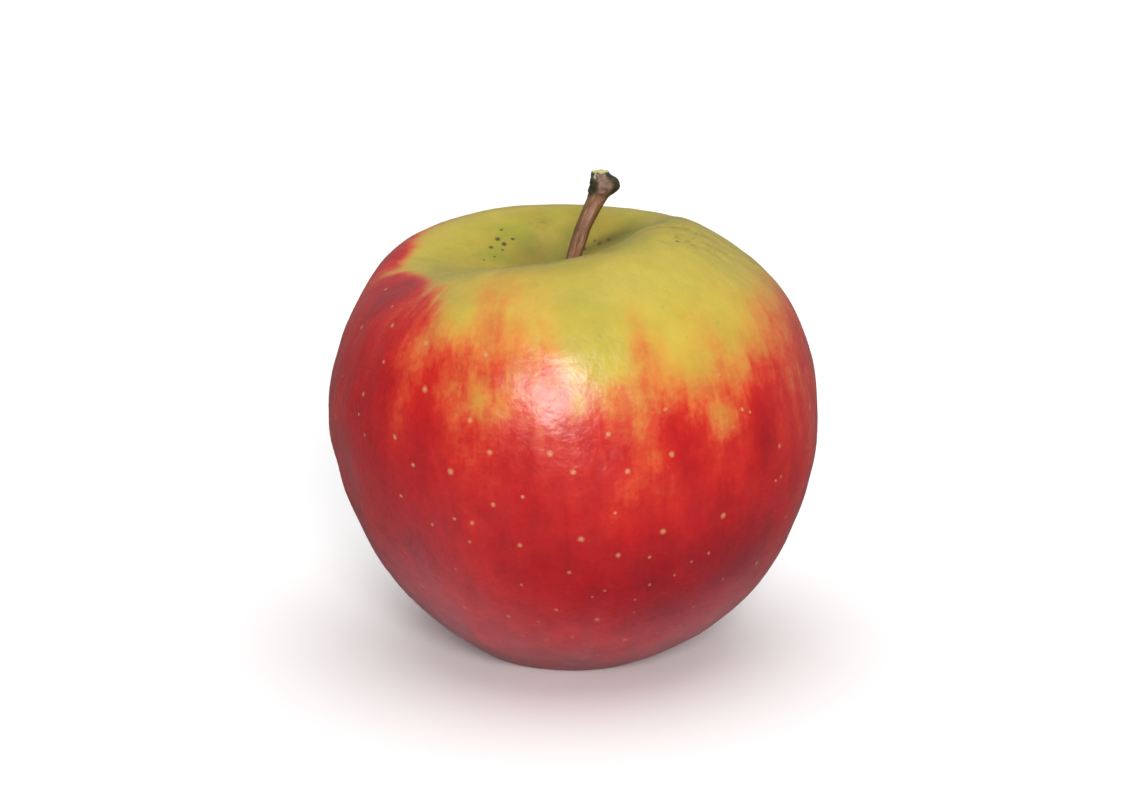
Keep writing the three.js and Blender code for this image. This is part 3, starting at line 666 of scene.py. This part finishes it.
def build_stem():
    cols, rows = 64, 150
    table = np.array(STEM_SLICES)
    z = np.linspace(52.05, 74.28, rows)
    spline = []
    for k in (1, 2, 3, 4):
        spline.append(cubic(table[:, 0], table[:, k], z))
    x, y, hx, hy = spline
    angle = np.arange(cols) * (2 * np.pi / cols)
    A, Z = np.meshgrid(angle, z)
    knob = smooth(Z, 70.6, 71.8)
    rib = 0.030 * np.cos(7 * A + 0.12 * Z) + 0.022 * np.cos(11 * A - 0.2 * Z + 1.1) + 0.018 * np.cos(17 * A + 0.35 * Z + 2.0)
    swell = np.stack([np.cos(A) * 1.2, np.sin(A) * 1.2, Z * 0.55], -1)
    lump = waves(swell, 1.6, 30, 11)
    rough = waves(np.stack([np.cos(A) * 1.6, np.sin(A) * 1.6, Z], -1), 0.8, 40, 12)
    grow = 1.0 + rib * (1 - 0.4 * knob) + (0.022 + 0.070 * knob) * lump + (0.010 + 0.035 * knob) * rough
    X = x[:, None] + hx[:, None] * grow * np.cos(A)
    Y = y[:, None] + hy[:, None] * grow * np.sin(A)
    side = np.stack([X, Y, Z + 0.10 * knob * waves(swell, 1.3, 20, 13)], -1)
    rings = [side[k] for k in range(rows)]
    broken = [0.0] * rows
    edge = side[-1]
    centre = np.array([4.98, 0.2, 0.0])
    rng = np.random.default_rng(5)
    jag = waves(np.stack([np.cos(angle) * 3, np.sin(angle) * 3, angle * 0], -1), 2.4, 24, 14)
    rings[-1] = edge + np.stack([0 * jag, 0 * jag, 0.10 + 0.16 * jag], -1)
    for share, drop in ((0.94, 0.05), (0.84, -0.10), (0.68, -0.12), (0.5, 0.0), (0.32, 0.06), (0.15, 0.02)):
        ring = edge.copy()
        ring[:, :2] = centre[:2] + (edge[:, :2] - centre[:2]) * share
        ring[:, 2] = 74.42 + drop + 0.10 * jag * share + 0.06 * waves(ring * np.array([1, 1, 0]), 0.7, 30, 15)
        rings.append(ring)
        broken.append(1.0)
    verts = np.concatenate(rings)
    count = len(verts)
    faces = tube_faces(len(rings), cols)
    foot = np.array([x[0], y[0], 52.02])
    tip = np.array([centre[0], centre[1], 74.45])
    verts = np.concatenate([verts, [foot, tip]]) + SHIFT
    last = count - cols
    for i in range(cols):
        k = (i + 1) % cols
        faces.append((count, k, i))
        faces.append((count + 1, last + i, last + k))
    obj = new_mesh("woody_stem", verts, faces, stem_material())
    all_z = np.concatenate([np.repeat(z, cols), np.full(count - rows * cols, 74.4), [52.0, 74.4]])
    all_a = np.concatenate([np.tile(angle, len(rings)), [0, 0]])
    put(obj, "grain", np.stack([2.2 * np.cos(all_a), 2.2 * np.sin(all_a), all_z * 0.28], -1))
    put(obj, "knob", smooth(all_z, 70.2, 71.6))
    # foot mask for the greener base and painted shade at the stem's foot
    put(obj, "foot", smooth(58.5 - all_z, 0, 4))
    put(obj, "broken", np.concatenate([np.repeat(broken, cols), [0, 1]]))
    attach(obj, "root")
    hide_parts("stem")
    return obj


def cubic(xs, ys, at):
    """Catmull-Rom through the points (xs, ys)."""
    m = np.gradient(ys, xs)
    i = np.clip(np.searchsorted(xs, at) - 1, 0, len(xs) - 2)
    h = xs[i + 1] - xs[i]
    u = (at - xs[i]) / h
    return ((2 * u ** 3 - 3 * u ** 2 + 1) * ys[i] + (u ** 3 - 2 * u ** 2 + u) * h * m[i]
            + (-2 * u ** 3 + 3 * u ** 2) * ys[i + 1] + (u ** 3 - u ** 2) * h * m[i + 1])


# ------------------------------------------------------------------ calyx
SEPAL_LINE = np.array([(2.72, 6.2), (2.2, 5.2), (1.62, 4.2), (1.66, 3.2), (2.5, 2.55), (3.25, 2.5)])


def dry_material(name, dark, mid, light, scale):
    n = Nodes(name)
    pos = n.position()
    grain_at = n.attribute("grain", "Vector")
    fibre = n.noise(grain_at, 2.2, 4.0, 0.65)
    patch = n.noise(pos, scale, 3.0, 0.6)
    colour = n.ramp(n.math("ADD", n.math("MULTIPLY", fibre, 0.65), n.math("MULTIPLY", patch, 0.35)),
                    [(0.32, linear(*dark)), (0.5, linear(*mid)), (0.68, linear(*light))])
    normal = n.bump(fibre, 0.00015, 0.6)
    normal = n.bump(n.noise(pos, 2600.0, 3.0, 0.6), 0.00005, 0.5, normal)
    n.link(normal, n.shader.inputs["Normal"])
    rough = n.span(patch, 0.3, 0.7, 0.72, 0.9, "LINEAR")
    return n.finish(Base_Color=colour, Roughness=rough, IOR=1.4, Specular_IOR_Level=0.3)


def build_sepal(index, material):
    turn = 0.35 + index * 2 * math.pi / 5
    rng = np.random.default_rng(70 + index)
    rows, cols = 30, 15
    f = np.linspace(0, 1, rows)
    g = f * (len(SEPAL_LINE) - 1)
    r = cubic(np.arange(len(SEPAL_LINE), dtype=float), SEPAL_LINE[:, 0], g)
    z = cubic(np.arange(len(SEPAL_LINE), dtype=float), SEPAL_LINE[:, 1], g)
    r = r + 0.12 * np.sin(5 * f + rng.uniform(0, 6)) * f
    slope_r, slope_z = np.gradient(r), np.gradient(z)
    size = np.hypot(slope_r, slope_z)
    n_r, n_z = slope_z / size, -slope_r / size
    width = 1.02 * (1 - 0.25 * f) * np.sqrt(np.clip(1 - f ** 3.0, 0, 1)) * (0.55 + 0.45 * smooth(f, 0, 0.2)) + 0.05
    out = np.array([math.cos(turn), math.sin(turn), 0])
    side = np.array([-math.sin(turn), math.cos(turn), 0])
    up = np.array([0, 0, 1.0])
    curl = rng.uniform(0.16, 0.34)
    twist = rng.uniform(-0.25, 0.25)
    sheets = []
    v = np.linspace(-1, 1, cols)
    V, F = np.meshgrid(v, f)
    wave = 0.06 * np.sin(9 * F + 3 * V + rng.uniform(0, 6)) * np.abs(V)
    bend = curl * V ** 2 - 0.10 * np.exp(-(V / 0.12) ** 2) + wave + twist * V * F
    edge = width[:, None] * (1 + 0.05 * np.sin(21 * F + rng.uniform(0, 6)) * (np.abs(V) > 0.9))
    for lift in (0.07, -0.07):
        off = bend * 0.8 + lift * (1 - 0.7 * V ** 2)
        at = (np.array([EYE[0], EYE[1], 0]) + out * (r[:, None] + n_r[:, None] * off)[..., None]
              + up * (z[:, None] + n_z[:, None] * off)[..., None] + side * (edge * V)[..., None])
        sheets.append(at)
    verts = np.concatenate([s.reshape(-1, 3) for s in sheets])
    half = rows * cols
    faces = []
    for j in range(rows - 1):
        for i in range(cols - 1):
            a = j * cols + i
            faces.append((a, a + 1, a + cols + 1, a + cols))
            faces.append((half + a, half + a + cols, half + a + cols + 1, half + a + 1))
    for j in range(rows - 1):
        a = j * cols
        faces.append((a, a + cols, half + a + cols, half + a))
        a = j * cols + cols - 1
        faces.append((a, half + a, half + a + cols, a + cols))
    for i in range(cols - 1):
        faces.append((i, half + i, half + i + 1, i + 1))
        a = (rows - 1) * cols + i
        faces.append((a, a + 1, half + a + 1, half + a))
    obj = new_mesh(f"dry_sepal_{index + 1}", verts + SHIFT, faces, material)
    grain = np.stack([V * 2.0, np.full(V.shape, float(index)), F * 1.2], -1).reshape(-1, 3)
    put(obj, "grain", np.concatenate([grain, grain]))
    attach(obj, "root")
    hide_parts(f"sepal_{index + 1}")
    return obj


def build_stamens(material):
    rng = np.random.default_rng(23)
    verts, faces, grain = [], [], []
    sides, steps = 7, 12
    for k in range(14):
        turn = 2 * math.pi * k / 14 + rng.uniform(-0.15, 0.15)
        root, tip = rng.uniform(0.22, 0.42), rng.uniform(0.35, 0.95)
        low = rng.uniform(3.55, 4.6)
        swing_ = rng.uniform(-0.5, 0.5)
        first = len(verts)
        for j in range(steps + 1):
            f = j / steps
            radius = root + (tip - root) * f ** 1.6
            a = turn + swing_ * f * f
            centre = np.array([EYE[0] + radius * math.cos(a), EYE[1] + radius * math.sin(a), 8.45 + (low - 8.45) * f])
            thick = 0.075 * (1 - 0.45 * f) + (0.11 if j >= steps - 1 else 0.0) * (1.0 if k % 2 else 0.6)
            if j == steps:
                thick *= 0.55
            for i in range(sides):
                b = 2 * math.pi * i / sides
                verts.append(centre + np.array([thick * math.cos(b), thick * math.sin(b), 0]))
                grain.append((b, k, f * 4))
        for j in range(steps):
            for i in range(sides):
                n_ = (i + 1) % sides
                a, b = first + j * sides, first + (j + 1) * sides
                faces.append((a + i, b + i, b + n_, a + n_))
        faces.append(tuple(first + i for i in range(sides)))
        faces.append(tuple(first + steps * sides + sides - 1 - i for i in range(sides)))
    obj = new_mesh("dry_stamens", np.array(verts) + SHIFT, faces, material)
    put(obj, "grain", np.array(grain))
    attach(obj, "root")
    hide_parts("stamen_tuft")
    return obj


# ------------------------------------------------------------------ stage
def build_stage():
    n = Nodes("paper_floor")
    tone = n.span(n.noise(n.position(), 3.0, 2.0, 0.5), 0.3, 0.7, 0.965, 0.975, "LINEAR")
    rgb = n.tree.nodes.new("ShaderNodeCombineColor")
    for k in range(3):
        n.link(tone, rgb.inputs[k])
    material = n.finish(Base_Color=rgb.outputs[0], Roughness=0.9, Specular_IOR_Level=0.1)
    size = 4000.0
    floor = new_mesh("floor", [(-size, -size, -0.15), (size, -size, -0.15), (size, size, -0.15), (-size, size, -0.15)],
                     [(0, 1, 2, 3)], material, False)

    floor.visible_glossy = False

    world = bpy.data.worlds.new("studio")
    bpy.context.scene.world = world
    world.use_nodes = True
    tree = world.node_tree
    background = tree.nodes["Background"]
    at = tree.nodes.new("ShaderNodeTexCoord")
    split = tree.nodes.new("ShaderNodeSeparateXYZ")
    tree.links.new(at.outputs["Generated"], split.inputs[0])
    height = tree.nodes.new("ShaderNodeMapRange")
    for key, v in (("From Min", -1.0), ("From Max", 1.0)):
        height.inputs[key].default_value = v
    tree.links.new(split.outputs["Z"], height.inputs["Value"])
    sky = tree.nodes.new("ShaderNodeValToRGB")
    stops = [(0.0, 0.08), (0.42, 0.09), (0.52, 0.17), (0.72, 0.32), (1.0, 0.46)]
    while len(sky.color_ramp.elements) < len(stops):
        sky.color_ramp.elements.new(0.5)
    for element, (place, v) in zip(sky.color_ramp.elements, stops):
        element.position, element.color = place, (v, v, v, 1.0)
    tree.links.new(height.outputs[0], sky.inputs[0])
    tree.links.new(sky.outputs[0], background.inputs["Color"])
    background.inputs["Strength"].default_value = 1.0

    def aim(obj, direction):
        obj.rotation_euler = Vector(direction).to_track_quat("Z", "Y").to_euler()

    def sun(name, direction, strength, angle):
        lamp = bpy.data.lights.new(name, "SUN")
        lamp.energy, lamp.angle = strength, math.radians(angle)
        obj = bpy.data.objects.new(name, lamp)
        aim(obj, direction)
        bpy.context.scene.collection.objects.link(obj)
        return obj

    def panel(name, direction, distance, width, height, power):
        lamp = bpy.data.lights.new(name, "AREA")
        lamp.shape, lamp.size, lamp.size_y, lamp.energy = "RECTANGLE", width, height, power
        obj = bpy.data.objects.new(name, lamp)
        d = Vector(direction).normalized()
        obj.location = Vector((0, 0, 0.04)) + d * distance
        aim(obj, d)
        bpy.context.scene.collection.objects.link(obj)
        return obj

    sun("key", (0.10, -0.92, 0.40), 2.4, 20).visible_glossy = False
    sun("top", (0.05, -0.05, 1.0), 1.50, 60).visible_glossy = False
    gloss = panel("gloss", (-0.09, -0.95, 0.26), 0.9, 0.32, 0.32, 7.0)
    gloss.visible_diffuse = False


def build_camera():
    camera = bpy.data.cameras.new("camera")
    camera.sensor_width = 36.0
    camera.lens = 36.0 * 2744.0 / 1141.0
    camera.clip_start, camera.clip_end = 0.01, 50.0
    obj = bpy.data.objects.new("camera", camera)
    obj.location = (-0.000487, -0.403758, 0.154781)
    obj.rotation_euler = (math.radians(74.0), 0.0, 0.0)
    bpy.context.scene.collection.objects.link(obj)
    bpy.context.scene.camera = obj


build_fruit()
build_stem()
sepal_material = dry_material("dry_sepal", (0.20, 0.15, 0.09), (0.38, 0.30, 0.18), (0.56, 0.49, 0.36), 900.0)
for number in range(5):
    build_sepal(number, sepal_material)
build_stamens(dry_material("dry_stamen", (0.14, 0.10, 0.06), (0.30, 0.22, 0.13), (0.50, 0.40, 0.26), 1500.0))
build_stage()
build_camera()
scene = bpy.context.scene
scene.view_settings.view_transform = "Standard"
scene.view_settings.look = "None"
